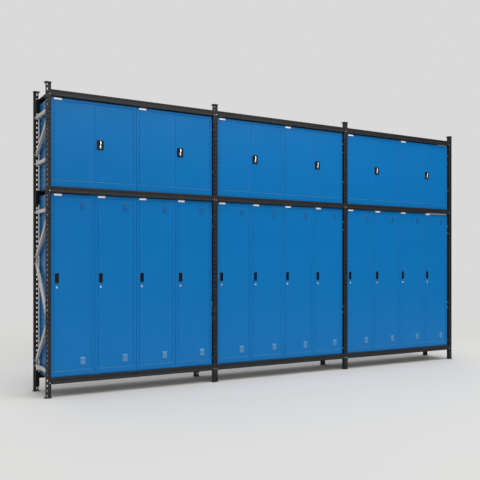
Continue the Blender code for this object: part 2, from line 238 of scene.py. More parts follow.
# Painted highlight and dust: surfaces that face up and are below 0.9 m get a pale tone, fullest near the
# floor. It stands for dust and for overhead light glinting on the low vents' slats.
facing = add_node(blue, "ShaderNodeSeparateXYZ", inputs={
    "Vector": add_node(blue, "ShaderNodeNewGeometry").outputs["True Normal"]})
level = add_node(blue, "ShaderNodeSeparateXYZ", inputs={"Vector": place})
upward = add_node(blue, "ShaderNodeMapRange", inputs={
    "Value": facing.outputs["Z"], "From Min": 0.25, "From Max": 0.6, "To Max": 0.28})
low_down = add_node(blue, "ShaderNodeMapRange", inputs={
    "Value": level.outputs["Z"], "From Min": 0.9, "From Max": 0.3})
dust_and_highlight_mask = add_node(blue, "ShaderNodeMath", {"operation": "MULTIPLY"}, {
    0: upward.outputs["Result"], 1: low_down.outputs["Result"]})
dust_and_highlight_tone = add_node(blue, "ShaderNodeMix", {"data_type": "RGBA"}, {
    0: dust_and_highlight_mask.outputs[0], 6: tone.outputs[2], 7: linear("#A3D0E2")})
feed(blue, shader, {"Base Color": dust_and_highlight_tone.outputs[2], "Roughness": satin.outputs["Result"],
                    "Normal": waves.outputs["Normal"]})

# %% [markdown]
# **Black powder coat.** The rack has a textured black coat: a fine, pebbly grain under 1 mm
# that breaks up every reflection, so the steel looks soft charcoal where light falls on it and
# nearly black elsewhere. The grain is drawn at 1.5 mm, coarser than the real one, so that it
# shows at all. Racks get knocked, so a few dusty scuffs lighten the coat.

# %% Black powder coat
black, shader, place = start_material("black_powder_coat", "#171718", 0.0, 0.5)
shader.inputs["Specular IOR Level"].default_value = 0.36
scuffs = add_node(black, "ShaderNodeTexNoise", inputs={"Vector": place, "Scale": 1 / 0.06, "Detail": 6.0})
worn = add_node(black, "ShaderNodeMapRange", inputs={
    "Value": scuffs.outputs["Fac"], "From Min": 0.52, "From Max": 0.78, "To Max": 0.6})
tone = add_node(black, "ShaderNodeMix", {"data_type": "RGBA"}, {
    0: worn.outputs["Result"], 6: linear("#161617"), 7: linear("#282727")})
sheen = add_node(black, "ShaderNodeMapRange", inputs={
    "Value": scuffs.outputs["Fac"], "From Min": 0.3, "From Max": 0.7, "To Min": 0.44, "To Max": 0.6})
pebbles = add_node(black, "ShaderNodeTexNoise", inputs={"Vector": place, "Scale": 1 / 0.0015})
texture = add_node(black, "ShaderNodeBump", inputs={
    "Height": pebbles.outputs["Fac"], "Distance": 0.00006, "Strength": 0.6})
feed(black, shader, {"Base Color": tone.outputs[2], "Roughness": sheen.outputs["Result"],
                     "Normal": texture.outputs["Normal"]})

# %% [markdown]
# **Galvanised steel.** The braces are hot-dip galvanised: molten zinc freezes on the steel in
# flat crystals, the spangle, 5 to 15 mm across. Each crystal has its own grey and its own
# gloss. Voronoi cells are exactly such patches, so they drive tone and roughness.

# %% Galvanised steel
galvanised, shader, place = start_material("galvanised_steel", "#CFCBC5", 0.5, 0.5)
spangle = add_node(galvanised, "ShaderNodeTexVoronoi", inputs={"Vector": place, "Scale": 1 / 0.01})
grey = add_node(galvanised, "ShaderNodeSeparateColor", inputs={"Color": spangle.outputs["Color"]})
tone = add_node(galvanised, "ShaderNodeMix", {"data_type": "RGBA"}, {
    0: grey.outputs["Red"], 6: linear("#B2AFAA"), 7: linear("#D2CEC7")})
gloss = add_node(galvanised, "ShaderNodeMapRange", inputs={
    "Value": grey.outputs["Green"], "To Min": 0.42, "To Max": 0.6})
feed(galvanised, shader, {"Base Color": tone.outputs[2], "Roughness": gloss.outputs["Result"]})

# %% [markdown]
# **Bright zinc plate.** Bolts, lock pins and rails are electroplated with a thin, bright zinc
# that keeps the fine turning marks of the steel below, about 0.5 mm apart. It is brighter
# than galvanising and has no crystals.

# %% Bright zinc plate
zinc, shader, place = start_material("bright_zinc_plate", "#DAD9DC", 1.0, 0.28)
marks = add_node(zinc, "ShaderNodeTexNoise", inputs={"Vector": place, "Scale": 1 / 0.002, "Detail": 2.0})
tone = add_node(zinc, "ShaderNodeMix", {"data_type": "RGBA"}, {
    0: marks.outputs["Fac"], 6: linear("#CFCED2"), 7: linear("#E9E8EA")})
gloss = add_node(zinc, "ShaderNodeMapRange", inputs={
    "Value": marks.outputs["Fac"], "To Min": 0.2, "To Max": 0.4})
feed(zinc, shader, {"Base Color": tone.outputs[2], "Roughness": gloss.outputs["Result"]})

# %% [markdown]
# **Polished chrome.** Handle levers and lock faces are die castings, polished and chromium
# plated: a mirror with a slight blue cast. Handling leaves faint smears, which show only as
# small changes of gloss, about 15 mm across.

# %% Polished chrome
chrome, shader, place = start_material("polished_chrome", "#F3F5F7", 1.0, 0.12)
smears = add_node(chrome, "ShaderNodeTexNoise", inputs={"Vector": place, "Scale": 1 / 0.015, "Detail": 4.0})
gloss = add_node(chrome, "ShaderNodeMapRange", inputs={
    "Value": smears.outputs["Fac"], "To Min": 0.2, "To Max": 0.36})
tone = add_node(chrome, "ShaderNodeMix", {"data_type": "RGBA"}, {
    0: smears.outputs["Fac"], 6: linear("#EEF1F4"), 7: linear("#FAFBFC")})
feed(chrome, shader, {"Base Color": tone.outputs[2], "Roughness": gloss.outputs["Result"]})

# %% [markdown]
# **Black ABS.** Finger pulls, handle plates and post caps are injection-moulded ABS from a
# spark-eroded mould. It leaves an even, fine grain, about 0.8 mm, on a black that is a little
# glossier than the rack's coat.

# %% Black ABS
abs_black, shader, place = start_material("moulded_black_abs", "#101011", 0.0, 0.36)
shader.inputs["Specular IOR Level"].default_value = 0.3
grain = add_node(abs_black, "ShaderNodeTexNoise", inputs={"Vector": place, "Scale": 1 / 0.0008})
tone = add_node(abs_black, "ShaderNodeMix", {"data_type": "RGBA"}, {
    0: grain.outputs["Fac"], 6: linear("#0B0B0C"), 7: linear("#151516")})
relief = add_node(abs_black, "ShaderNodeBump", inputs={
    "Height": grain.outputs["Fac"], "Distance": 0.00003, "Strength": 0.5})
feed(abs_black, shader, {"Base Color": tone.outputs[2], "Normal": relief.outputs["Normal"]})

# %% [markdown]
# **Label card, rubber and film.** The number labels are blank white card with a faint fibre,
# the door buffers are matt rubber with a bloom of wax, and one strip of pale protective film
# is still stuck under the middle beam.

# %% Label card, rubber and film
card, shader, place = start_material("white_label_card", "#F3F2F6", 0.0, 0.55)
fibres = add_node(card, "ShaderNodeTexNoise", inputs={"Vector": place, "Scale": 1 / 0.001, "Detail": 3.0})
tone = add_node(card, "ShaderNodeMix", {"data_type": "RGBA"}, {
    0: fibres.outputs["Fac"], 6: linear("#EDECF2"), 7: linear("#FAF9FC")})
feed(card, shader, {"Base Color": tone.outputs[2]})

rubber, shader, place = start_material("buffer_rubber", "#191919", 0.0, 0.8)
bloom = add_node(rubber, "ShaderNodeTexNoise", inputs={"Vector": place, "Scale": 1 / 0.004, "Detail": 2.0})
tone = add_node(rubber, "ShaderNodeMix", {"data_type": "RGBA"}, {
    0: bloom.outputs["Fac"], 6: linear("#151515"), 7: linear("#242424")})
feed(rubber, shader, {"Base Color": tone.outputs[2]})

film, shader, place = start_material("protective_film", "#C9DCEA", 0.0, 0.3)
wrinkles = add_node(film, "ShaderNodeTexNoise", inputs={"Vector": place, "Scale": 1 / 0.02, "Detail": 3.0})
tone = add_node(film, "ShaderNodeMix", {"data_type": "RGBA"}, {
    0: wrinkles.outputs["Fac"], 6: linear("#B5CFE2"), 7: linear("#DBE8F0")})
feed(film, shader, {"Base Color": tone.outputs[2]})
print("finishes:", [material.name for material in bpy.data.materials if material.users])

# %% [markdown]
# ## Shaping sheet metal
#
# A folded sheet is a path seen from its end, pulled along a third direction. `ribbon` makes
# it as a surface at the middle of the sheet, and a Solidify modifier gives it its thickness
# afterwards. That is quicker than drawing both faces, and every sheet gets an even wall. A
# letter triple such as "yzx" says which directions the path lies in and which way it is
# pulled. `loft` joins rings of points and makes turned, moulded and pierced shapes.


# %% Folded sheet
def point(axes, *values):
    """A point whose coordinates come in the order of the letters in axes."""
    named = dict(zip(axes, values))
    return Vector((named["x"], named["y"], named["z"]))


def rounded_path(points, radius, steps=4):
    """An open path with each corner turned into a smooth bend."""
    path = [Vector(points[0])]
    for before, middle, after in zip(points, points[1:], points[2:]):
        corner = Vector(middle)
        back = (Vector(before) - corner).normalized()
        ahead = (Vector(after) - corner).normalized()
        reach = radius * math.tan((math.pi - back.angle(ahead)) / 2)
        start = corner + back * reach
        end = corner + ahead * reach
        for step in range(steps + 1):
            share = step / steps
            path.append(start.lerp(corner, share).lerp(corner.lerp(end, share), share))
    path.append(Vector(points[-1]))
    return path


def ribbon(shape, path, start, end, axes):
    """A bent strip of sheet: the path, pulled from start to end."""
    rows = [[shape.verts.new(point(axes, u, v, w)) for u, v in path] for w in (start, end)]
    for index in range(len(path) - 1):
        shape.faces.new((rows[0][index], rows[0][index + 1], rows[1][index + 1], rows[1][index]))
    return rows[0] + rows[1]


# %% Rings and lofts
def ring(outline, axes, level, centre=(0, 0)):
    """An outline as points at one level."""
    return [point(axes, u + centre[0], v + centre[1], level) for u, v in outline]


def loft(shape, rings, first_cap=False, last_cap=False, material=0):
    """Joins closed rings of points in turn, with a face over an end if asked."""
    rows = [[shape.verts.new(place) for place in places] for places in rings]
    faces = []
    for near, far in zip(rows, rows[1:]):
        for index in range(len(near)):
            after = (index + 1) % len(near)
            faces.append(shape.faces.new((near[index], near[after], far[after], far[index])))
    if first_cap:
        faces.append(shape.faces.new(rows[0]))
    if last_cap:
        faces.append(shape.faces.new(rows[-1]))
    for face in faces:
        face.material_index = material
    return [vertex for row in rows for vertex in row]


# %% Round outlines and turned parts
def circle(radius, sides=24):
    """Outline of a circle with its middle at 0, 0."""
    turns = [2 * math.pi * index / sides for index in range(sides)]
    return [(radius * math.cos(turn), radius * math.sin(turn)) for turn in turns]


def rounded_rect(width, height, radius, steps=4):
    """Outline of a rectangle with round corners, with its middle at 0, 0."""
    outline = []
    for corner, (side, up) in enumerate(((1, 1), (-1, 1), (-1, -1), (1, -1))):
        for step in range(steps + 1):
            turn = math.pi / 2 * (corner + step / steps)
            outline.append((side * (width / 2 - radius) + radius * math.cos(turn),
                            up * (height / 2 - radius) + radius * math.sin(turn)))
    return outline


def turned(shape, profile, axes, centre=(0, 0), sides=24, material=0):
    """A round part: profile holds a radius and a level for each step, and both ends are closed."""
    rings = [ring(circle(radius, sides), axes, level, centre) for radius, level in profile]
    return loft(shape, rings, True, True, material)


# %% [markdown]
# The next helper makes a piece. Sheet pieces get a Solidify modifier and, where the surface
# has sharp folds, a Bevel before it that acts as the bend radius of the press brake. The
# Weighted Normal modifier keeps large flat faces looking flat next to small bends. `even` is
# turned off for a sheet with louvres, whose curved corners would grow spikes otherwise.


# %% Finished mesh
def finish_mesh(name, shape, *materials):
    """Closes the drawing of a shape and returns it as a mesh with its materials."""
    bmesh.ops.remove_doubles(shape, verts=shape.verts, dist=0.00001)
    bmesh.ops.recalc_face_normals(shape, faces=shape.faces)
    mesh = bpy.data.meshes.new(name)
    shape.to_mesh(mesh)
    shape.free()
    for material in materials:
        mesh.materials.append(material)
    mesh.shade_smooth()
    mesh.set_sharp_from_angle(angle=math.radians(35))
    return mesh


# %% Piece on a body
def add_piece(name, mesh, body, place=(0, 0, 0), wall=0, bend=0, even=True, stands_for=None):
    """Puts a mesh in the scene as a piece that rides on a body."""
    piece = bpy.data.objects.new(name, mesh)
    piece.location = place
    scene.collection.objects.link(piece)
    if bend:
        folds = piece.modifiers.new("folds", "BEVEL")
        folds.width = bend
        folds.segments = 3
        folds.angle_limit = math.radians(70)
    if wall:
        sheet = piece.modifiers.new("sheet", "SOLIDIFY")
        sheet.thickness = wall
        sheet.offset = 0
        sheet.use_even_offset = even
    shading = piece.modifiers.new("flat_faces", "WEIGHTED_NORMAL")
    shading.keep_sharp = True
    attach(piece, body)
    if stands_for:
        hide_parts(stands_for)
    return piece


# %% [markdown]
# ## Posts
#
# A rack post is rolled from 2 mm strip into a hat section: a broad face with two columns of
# keyhole slots, and a narrower channel behind it. Slots every 50 mm let a beam hook on at any
# height. The slots are real holes here, because light shows through them. Cutting 126 holes
# with Booleans would be slow and messy, so the face is laid from small rectangles that are
# each drawn round their own slot.

# %% Sizes of the rack, from the frame
RACK = "rack"
upright_boxes = [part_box(f"upright_frame_{number}") for number in range(1, 5)]
POST_X = [(low.x + high.x) / 2 for low, high in upright_boxes]
FOOT_OVERHANG = 0.008
HALF_DEPTH = upright_boxes[0][1].y - FOOT_OVERHANG
RACK_HEIGHT = upright_boxes[0][1].z
POST_WIDTH = 0.055
POST_DEPTH = 0.050
POST_WALL = 0.002
FOOT_THICKNESS = 0.004
CAP_THICKNESS = 0.003
SLOT_PITCH = 0.050
SLOT_HALF = (0.0062, 0.0125)
FACE_HALF = 0.0245          # half of the flat face, where the slots are
CHANNEL_HALF = 0.0145       # from the middle of the post to its channel's side
FLANGE_DEPTH = 0.010
BEND_RADIUS = 0.0022        # of rolled strip, at the middle of its wall
print("post centres:", [round(x, 4) for x in POST_X], "height:", round(RACK_HEIGHT, 3))


# %% Hole in a sheet
def square_point(index, count):
    """One of count points round a square that reaches from -1 to 1."""
    side, step = divmod(index, count // 4)
    along = -1 + 2 * step / (count // 4)
    return ((1, along), (-along, 1), (-1, -along), (along, -1))[side]


def pierced(shape, low, high, centre, half, axes, level, taper=0.0, floor=None):
    """A rectangle of sheet round one rounded hole, or round a pocket if it has a floor."""
    outer = []
    hole = []
    for index in range(16):
        u, v = square_point(index, 16)
        outer.append((low[0] + (u + 1) / 2 * (high[0] - low[0]), low[1] + (v + 1) / 2 * (high[1] - low[1])))
        across = u / math.hypot(u, v)
        up = v / math.hypot(u, v)
        narrow = 1 - taper * max(0, -up)
        hole.append((centre[0] + half[0] * narrow * math.copysign(abs(across) ** 0.6, across),
                     centre[1] + half[1] * math.copysign(abs(up) ** 0.6, up)))
    rings = [ring(outer, axes, level), ring(hole, axes, level)]
    if floor is not None:
        rings.append(ring(hole, axes, floor))
    loft(shape, rings, last_cap=floor is not None)


# %% Slotted post
POST_LOW = FOOT_THICKNESS
POST_HIGH = RACK_HEIGHT - CAP_THICKNESS
ROWS = round(RACK_HEIGHT / SLOT_PITCH)


def draw_post(shape, side):
    """One post of a frame: side is -1 at the front and 1 at the rear."""
    face = side * (HALF_DEPTH - POST_WALL / 2)
    for row in range(ROWS):
        bottom = max(row * SLOT_PITCH, POST_LOW)
        top = min((row + 1) * SLOT_PITCH, POST_HIGH)
        middle = (row + 0.5) * SLOT_PITCH
        for hand in (-1, 1):
            low, high = sorted((0, hand * FACE_HALF))
            pierced(shape, (low, bottom), (high, top), (hand * FACE_HALF / 2, middle), SLOT_HALF,
                    "xzy", face, taper=0.35)
    for hand in (-1, 1):
        flank = hand * (POST_WIDTH - POST_WALL) / 2
        channel = hand * CHANNEL_HALF
        flange = face - side * FLANGE_DEPTH
        path = [(hand * FACE_HALF, face), (flank, face), (flank, flange),
                (channel, flange), (channel, side * (HALF_DEPTH - POST_DEPTH))]
        ribbon(shape, rounded_path(path, 0.0018), POST_LOW, POST_HIGH, "xyz")


# %% Place the posts
post_shape = bmesh.new()
draw_post(post_shape, -1)
draw_post(post_shape, 1)
post_mesh = finish_mesh("posts", post_shape, black)
for number, x in enumerate(POST_X, start=1):
    add_piece(f"posts_{number}", post_mesh, RACK, (x, 0, 0), wall=POST_WALL,
              stands_for=f"upright_frame_{number}")
print("slots in each post:", 2 * ROWS)

# %% [markdown]
# ## Feet and caps
#
# Each post stands on a pressed foot plate with two holes for floor anchors, and is closed at
# the top by a moulded cap. The plate is again drawn round its holes. The cap is a loft: two
# rounded rectangles, the upper one a little smaller, so its edge looks moulded.

# %% Feet and caps
feet_shape = bmesh.new()
caps_shape = bmesh.new()
CAP_OVERHANG = 0.005
ANCHOR_RADIUS = 0.0045
for x in POST_X:
    for side in (-1, 1):
        outer = side * (HALF_DEPTH + FOOT_OVERHANG)
        inner = side * (HALF_DEPTH - POST_DEPTH - FOOT_OVERHANG)
        near, far = sorted((outer, inner))
        reach = POST_WIDTH / 2 + FOOT_OVERHANG
        hole_y = side * (HALF_DEPTH - 0.031)
        for hand in (-1, 1):
            low, high = sorted((x, x + hand * reach))
            pierced(feet_shape, (low, near), (high, far), (x + hand * 0.0258, hole_y),
                    (ANCHOR_RADIUS, ANCHOR_RADIUS), "xyz", FOOT_THICKNESS / 2)
        centre = (x, side * (HALF_DEPTH - POST_DEPTH / 2))
        width = POST_WIDTH + 2 * CAP_OVERHANG
        depth = POST_DEPTH + 2 * CAP_OVERHANG
        loft(caps_shape, [
            ring(rounded_rect(width, depth, 0.005), "xyz", RACK_HEIGHT - CAP_THICKNESS - 0.006, centre),
            ring(rounded_rect(width, depth, 0.005), "xyz", RACK_HEIGHT - 0.0015, centre),
            ring(rounded_rect(width - 0.003, depth - 0.003, 0.004), "xyz", RACK_HEIGHT, centre),
        ], True, True)
add_piece("foot_plates", finish_mesh("foot_plates", feet_shape, black), RACK, wall=FOOT_THICKNESS)
add_piece("post_caps", finish_mesh("post_caps", caps_shape, abs_black), RACK)
print("feet and caps:", 2 * len(POST_X), "of each")

# %% [markdown]
# ## Braces
#
# Horizontal and diagonal channels tie the front post to the rear post. They are rolled from
# 1.5 mm galvanised strip, left bright, and bolted through the sides of the post channels. A
# brace is one ribbon with four bends, drawn level and then turned to its slope.

# %% Sizes of the braces
BRACE_LEVELS = (0.267, 1.878, 2.384, 2.870)
DIAGONALS = ((2.775, 2.469), (1.792, 1.395), (0.779, 1.361), (0.745, 0.307))
BRACE_WALL = 0.0015
BRACE_REACH = HALF_DEPTH - POST_DEPTH + 0.026
CHANNEL_SIDE = 0.0155


# %% Brace bolt
def draw_bolt(shape, y, z, hand):
    """A hexagon head on one side of the post channel; hand says which side."""
    foot = hand * CHANNEL_SIDE
    turned(shape, [(0.0080, foot), (0.0080, foot + hand * 0.0012)], "yzx", (y, z), 20)
    head = [(0.0066, foot + hand * 0.0012), (0.0072, foot + hand * 0.0020),
            (0.0072, foot + hand * 0.0052), (0.0060, foot + hand * 0.0062)]
    turned(shape, head, "yzx", (y, z), 6)


# %% Braces
brace_shape = bmesh.new()
bolt_shape = bmesh.new()
for front_height, rear_height in [(level, level) for level in BRACE_LEVELS] + list(DIAGONALS):
    rise = rear_height - front_height
    length = math.hypot(2 * BRACE_REACH, rise)
    path = [(0.0125, -0.0110), (0.0125, -0.0167), (-0.0125, -0.0167),
            (-0.0125, 0.0167), (0.0125, 0.0167), (0.0125, 0.0110)]
    bar = ribbon(brace_shape, rounded_path(path, 0.002), 0, length, "xzy")
    slope = Matrix.Rotation(math.atan2(rise, 2 * BRACE_REACH), 4, "X")
    bmesh.ops.transform(brace_shape, verts=bar,
                        matrix=Matrix.Translation((0, -BRACE_REACH, front_height)) @ slope)
    for side, height in ((-1, front_height), (1, rear_height)):
        for hand in (-1, 1):
            bolt_y = side * (HALF_DEPTH - POST_DEPTH + 0.016)
            draw_bolt(bolt_shape, bolt_y, height - side * rise * 0.04, hand)
brace_mesh = finish_mesh("braces", brace_shape, galvanised)
bolt_mesh = finish_mesh("brace_bolts", bolt_shape, zinc)
for number, x in enumerate(POST_X, start=1):
    add_piece(f"braces_{number}", brace_mesh, RACK, (x, 0, 0), wall=BRACE_WALL)
    add_piece(f"brace_bolts_{number}", bolt_mesh, RACK, (x, 0, 0))
print("braces in each frame:", len(BRACE_LEVELS) + len(DIAGONALS))

# %% [markdown]
# ## Beams and decks
#
# A beam is a channel with a shallow groove rolled into its face. The groove stiffens it, and
# it is what gives the beam its light upper line and its dark lower line. A connector is
# welded to each end: an angle plate 150 mm tall that wraps half of the post's face and carries
# three hooks. The deck is a sheet with swages pressed across it, on two hat-shaped ribs.

# %% Sizes of the shelves, from the frame
BAY_PITCH = POST_X[1] - POST_X[0]
FLANK = (BAY_PITCH - POST_WIDTH) / 2
BAY_CENTRES = [(left + right) / 2 for left, right in zip(POST_X, POST_X[1:])]
BEAM_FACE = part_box("bottom_shelf_bay_1")[1].y
LEVEL_TOPS = {
    "bottom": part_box("bottom_shelf_bay_1")[1].z,
    "middle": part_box("middle_shelf_bay_1")[1].z,
    "top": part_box("top_beam_frame")[1].z,
}
BEAM_WALL = 0.002
BEAM_HEIGHT = 0.062
BEAM_DEPTH = 0.040
CONNECTOR_HEIGHT = 0.150
GROOVE_DEPTH = 0.0032
LIP_REACH = 0.0268          # how far a connector or a cover plate reaches over a post's face
DECK_WALL = 0.0012
DECK_HALF = BEAM_FACE - BEAM_DEPTH - 0.001
print("beam tops:", {level: round(top, 4) for level, top in LEVEL_TOPS.items()})


# %% Grooved beam
def draw_beam(shape, side, start, end, top):
    """A grooved channel beam on one side of the rack."""
    face = side * (BEAM_FACE - BEAM_WALL / 2)
    groove = face - side * GROOVE_DEPTH
    inner = side * (BEAM_FACE - BEAM_DEPTH)
    upper = top - BEAM_WALL / 2
    lower = top - BEAM_HEIGHT + BEAM_WALL / 2
    path = [(inner, lower + 0.010), (inner, lower), (face, lower), (face, lower + 0.014),
            (groove, lower + 0.018), (groove, upper - 0.018), (face, upper - 0.014), (face, upper),
            (inner, upper), (inner, upper - 0.010)]
    ribbon(shape, rounded_path(path, BEND_RADIUS), start, end, "yzx")


# %% Beam connector
def draw_connector(shape, side, flank, hand, top):
    """Angle plate on a post: hand is 1 if the post is on its left."""
    leg = flank + hand * 0.0013
    face = side * (BEAM_FACE - BEAM_WALL / 2)
    lip_end = flank - hand * LIP_REACH
    fold = leg - hand * 0.0035
    bottom = top - CONNECTOR_HEIGHT
    path = [(leg, side * (BEAM_FACE - BEAM_DEPTH)), (leg, face), (fold, face)]
    ribbon(shape, rounded_path(path, BEND_RADIUS), bottom, top, "xyz")
    low, high = sorted((fold, lip_end))
    for hook in range(3):
        start = bottom + hook * SLOT_PITCH
        window = ((low + high) / 2, start + SLOT_PITCH / 2)
        pierced(shape, (low, start), (high, start + SLOT_PITCH), window, (0.0045, 0.010),
                "xzy", face, floor=face - side * 0.0006)


# %% Beams of one bay
def draw_bay(shape, centre, top):
    """The front and rear beams of one bay, their connectors and the ties between them."""
    left = centre - FLANK
    right = centre + FLANK
    for side in (-1, 1):
        draw_beam(shape, side, left + 0.0015, right - 0.0015, top)
        draw_connector(shape, side, left, 1, top)
        draw_connector(shape, side, right, -1, top)
    reach = BEAM_FACE - 0.004
    for x, hand in ((left + 0.006, 1), (right - 0.006, -1)):
        tie = [(x, top - 0.020), (x, top - 0.003), (x + hand * 0.014, top - 0.003)]
        ribbon(shape, rounded_path(tie, 0.002), -reach, reach, "xzy")


# %% Place the lower beams
for level in ("bottom", "middle"):
    shape = bmesh.new()
    draw_bay(shape, 0, LEVEL_TOPS[level])
    mesh = finish_mesh(f"{level}_beams", shape, black)
    for bay, centre in enumerate(BAY_CENTRES, start=1):
        add_piece(f"{level}_beams_{bay}", mesh, RACK, (centre, 0, 0), wall=BEAM_WALL,
                  stands_for=f"{level}_shelf_bay_{bay}")
print("bays:", len(BAY_CENTRES), "beam length:", round(2 * FLANK - 0.003, 4))

# %% [markdown]
# The top beams belong to one welded frame: a plain cover plate carries the line of the beam
# across the face of each inner post.

# %% Top beams
top = LEVEL_TOPS["top"]
shape = bmesh.new()
for centre in BAY_CENTRES:
    draw_bay(shape, centre, top)
for x in POST_X[1:-1]:
    for side in (-1, 1):
        face = side * (BEAM_FACE - BEAM_WALL / 2)
        plate = [(face, top - BEAM_HEIGHT), (face, top)]
        ribbon(shape, plate, x - LIP_REACH, x + LIP_REACH, "yzx")
add_piece("top_beams", finish_mesh("top_beams", shape, black), RACK, wall=BEAM_WALL,
          stands_for="top_beam_frame")


# %% [markdown]
# A deck is one folded path again, seen from the front of the rack and pulled from front to
# rear. The ribs below it run the other way. Real decks are separate sheets for each bay. The
# top one is a single cover, so strips fill it in between the posts of each frame.

# %% Deck with swages and ribs
SWAGES = 8
SWAGE_DEPTH = 0.003
RIB_LINES = (-0.110, 0.110)


def draw_deck(shape, centre, top, half_width):
    """A pressed deck over one bay, with swages across it and two hat ribs below."""
    sheet = top - DECK_WALL / 2
    dip = sheet - SWAGE_DEPTH
    pitch = 2 * half_width / SWAGES
    path = [(centre - half_width, sheet)]
    for index in range(SWAGES):
        middle = centre - half_width + (index + 0.5) * pitch
        path += [(middle - 0.014, sheet), (middle - 0.008, dip),
                 (middle + 0.008, dip), (middle + 0.014, sheet)]
    path.append((centre + half_width, sheet))
    ribbon(shape, path, -DECK_HALF, DECK_HALF, "xzy")
    brim = sheet - 0.0048
    crown = top - 0.0195
    reach = half_width - 0.03
    for y in RIB_LINES:
        hat = [(y - 0.028, brim), (y - 0.018, brim), (y - 0.013, crown),
               (y + 0.013, crown), (y + 0.018, brim), (y + 0.028, brim)]
        ribbon(shape, rounded_path(hat, 0.002), centre - reach, centre + reach, "yzx")


# %% Place the decks
for level in ("bottom", "middle"):
    shape = bmesh.new()
    draw_deck(shape, 0, LEVEL_TOPS[level], FLANK - 0.003)
    mesh = finish_mesh(f"{level}_deck", shape, black)
    for bay, centre in enumerate(BAY_CENTRES, start=1):
        add_piece(f"{level}_deck_{bay}", mesh, RACK, (centre, 0, 0), wall=DECK_WALL)

# %% Top deck
shape = bmesh.new()
for centre in BAY_CENTRES:
    draw_deck(shape, centre, top, FLANK - 0.003)
for x in POST_X:
    between_posts = HALF_DEPTH - POST_DEPTH - 0.004
    half_strip = POST_WIDTH / 2 + 0.004
    left = max(x - half_strip, POST_X[0] + POST_WIDTH / 2)
    right = min(x + half_strip, POST_X[-1] - POST_WIDTH / 2)
    sheet = top - DECK_WALL / 2
    ribbon(shape, [(left, sheet), (right, sheet)], -between_posts, between_posts, "xzy")
add_piece("top_deck_sheet", finish_mesh("top_deck_sheet", shape, black), RACK, wall=DECK_WALL,
          stands_for="top_deck")
print("deck size in one bay:", round(2 * FLANK - 0.006, 4), "by", round(2 * DECK_HALF, 4))

# %% [markdown]
# ## Lock pins
#
# A bright pin through each connector keeps its hooks from lifting out of the slots. It is a
# turned shape: a thin collar and a domed head.

# %% Lock pins
PIN_ABOVE_BEAM_FOOT = 0.015
PIN_STEPS = ((0.0046, 0.0), (0.0046, 0.0008), (0.0038, 0.0012), (0.0034, 0.0026), (0.0018, 0.0034))
shape = bmesh.new()
for beam_top in LEVEL_TOPS.values():
    height = beam_top - BEAM_HEIGHT + PIN_ABOVE_BEAM_FOOT
    for centre in BAY_CENTRES:
        for side in (-1, 1):
            for hand in (-1, 1):
                x = centre + hand * (FLANK + 0.0135)
                face = side * BEAM_FACE
                steps = [(radius, face + side * proud) for radius, proud in PIN_STEPS]
                turned(shape, steps, "xzy", (x, height), 16)
add_piece("lock_pins", finish_mesh("lock_pins", shape, zinc), RACK)
print("lock pins:", 4 * len(BAY_CENTRES) * len(LEVEL_TOPS))


# %% [markdown]
# ## Locker case
#
# The side of a locker is one sheet: it runs from the back, turns round the front as a narrow
# stile, turns in beside the door and ends in a lip that the door closes against. Header and
# rail are folded the same way. The back is one pressed panel. A hat shelf with a folded
# front, hinge knuckles rolled from the same sheet, and the lip all round are what shows when
# the door opens.

# %% Sizes of lockers and cupboards, from the frame
SHEET = 0.0012
DOOR_GAP = 0.0015
DOOR_DEPTH = 0.020
STILE = 0.0315
STOP = 0.008               # lip behind the door
FOLD_RADIUS = 0.0045       # of the bends that show round a door
RECESS = DOOR_DEPTH + 0.0026
KNUCKLE_RADIUS = 0.0026
KNUCKLE_LENGTH = 0.016
HINGE_SHARES = (0.12, 0.5, 0.88)


def measures(body_node, door_node):
    """Width, depth, height, header and rail of a unit."""
    low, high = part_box(body_node)
    door_low, door_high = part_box(door_node)
    return {"width": high.x - low.x, "depth": high.y - low.y, "height": high.z - low.z,
            "header": high.z - door_high.z - DOOR_GAP, "rail": door_low.z - low.z - DOOR_GAP}


locker = measures("locker_body_01", "locker_door_01")
cupboard = measures("cupboard_body_1", "cupboard_door_left_1")
print("locker:", {key: round(value, 4) for key, value in locker.items()})
print("cupboard:", {key: round(value, 4) for key, value in cupboard.items()})


# %% Hinge knuckles
def draw_knuckles(shape, x, bottom, top, moving):
    """Rolled hinge knuckles on an upright axis; the door has the middle one of each three."""
    for share in HINGE_SHARES:
        middle = bottom + share * (top - bottom)
        for step in ((0,) if moving else (-1, 1)):
            centre = middle + step * KNUCKLE_LENGTH
            half = KNUCKLE_LENGTH / 2 - 0.0004
            rings = [ring(circle(KNUCKLE_RADIUS - SHEET / 2, 16), "xyz", level, (x, 0))
                     for level in (centre - half, centre + half)]
            loft(shape, rings)


